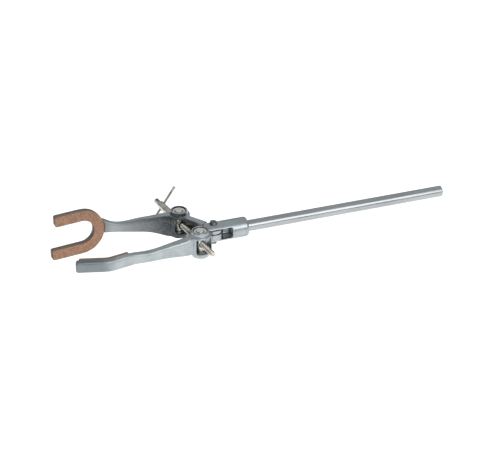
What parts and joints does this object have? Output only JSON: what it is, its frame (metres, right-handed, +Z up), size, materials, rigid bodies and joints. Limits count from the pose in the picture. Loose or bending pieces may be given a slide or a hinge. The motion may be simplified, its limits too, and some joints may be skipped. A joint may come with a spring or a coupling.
{
  "type": "three-prong extension clamp",
  "caption": "Screw-operated laboratory clamp: a cork-lined fork and a single cork-lined finger pivot on a round support rod, closed by a spindle with a tommy bar.",
  "frame": {"origin": "on the support rod's axis, at the collar's rear face where the rod leaves it", "axes": "+X along the rod to its free end, +Y to the fork's side, +Z up along the jaws' pivot pin"},
  "size_m": [0.3551, 0.1061, 0.0426],
  "materials": {
    "plated_rod": "bright drawn and plated",
    "cast_metal": "satin die-cast",
    "plated_steel": "satin plated",
    "nickel_steel": "bright nickel plated",
    "cork": "sanded agglomerated cork"
  },
  "bodies": {
    "rod_and_clevis": {"support_rod": "plated_rod", "clevis_body": "cast_metal", "pivot_pin": "plated_steel", "lug_washer": "plated_steel"},
    "fork": {"fork_jaw": "cast_metal", "fork_cork": "cork"},
    "finger": {"finger_jaw": "cast_metal", "finger_cork": "cork"},
    "fork_swivel": {"fork_barrel": "plated_steel", "fork_ring_upper": "plated_steel", "fork_ring_lower": "plated_steel"},
    "screw": {"spindle": "nickel_steel", "thrust_sleeve": "nickel_steel", "thrust_washer": "nickel_steel", "spindle_clip": "nickel_steel", "clip_washer": "nickel_steel", "tommy_bar": "nickel_steel"},
    "finger_swivel": {"finger_barrel": "plated_steel", "finger_ring_upper": "plated_steel", "finger_ring_lower": "plated_steel"}
  },
  "joints": [
    {"name": "jaw_swing", "type": "hinge", "parent": "rod_and_clevis", "child": "fork", "pos_m": [-0.031, 0, 0], "axis": [0, 0, 1], "range_deg": [-20, 20]},
    {"name": "jaw_opening", "type": "hinge", "parent": "fork", "child": "finger", "pos_m": [-0.031, 0, 0], "axis": [0, 0, 1], "range_deg": [-22.05, 14.05]},
    {"name": "fork_swivel_turn", "type": "hinge", "parent": "fork", "child": "fork_swivel", "pos_m": [-0.05421, 0.02633, 0], "axis": [0, 0, 1], "range_deg": [-5.28, 3.38]},
    {"name": "screw_turn", "type": "hinge", "parent": "fork_swivel", "child": "screw", "pos_m": [-0.05421, 0.02633, 0], "axis": [-0.1773, 0.9842, 0], "range_deg": [-3186, 2028]},
    {"name": "finger_swivel_turn", "type": "hinge", "parent": "finger", "child": "finger_swivel", "pos_m": [-0.0471, -0.01317, 0], "axis": [0, 0, 1], "range_deg": [-10.73, 16.82]}
  ],
  "couplings": [
    {"joint": "jaw_opening", "follows": "screw_turn", "ratio": 0.0069048},
    {"joint": "fork_swivel_turn", "follows": "screw_turn", "ratio": 0.0016406},
    {"joint": "finger_swivel_turn", "follows": "screw_turn", "ratio": -0.0052642}
  ]
}
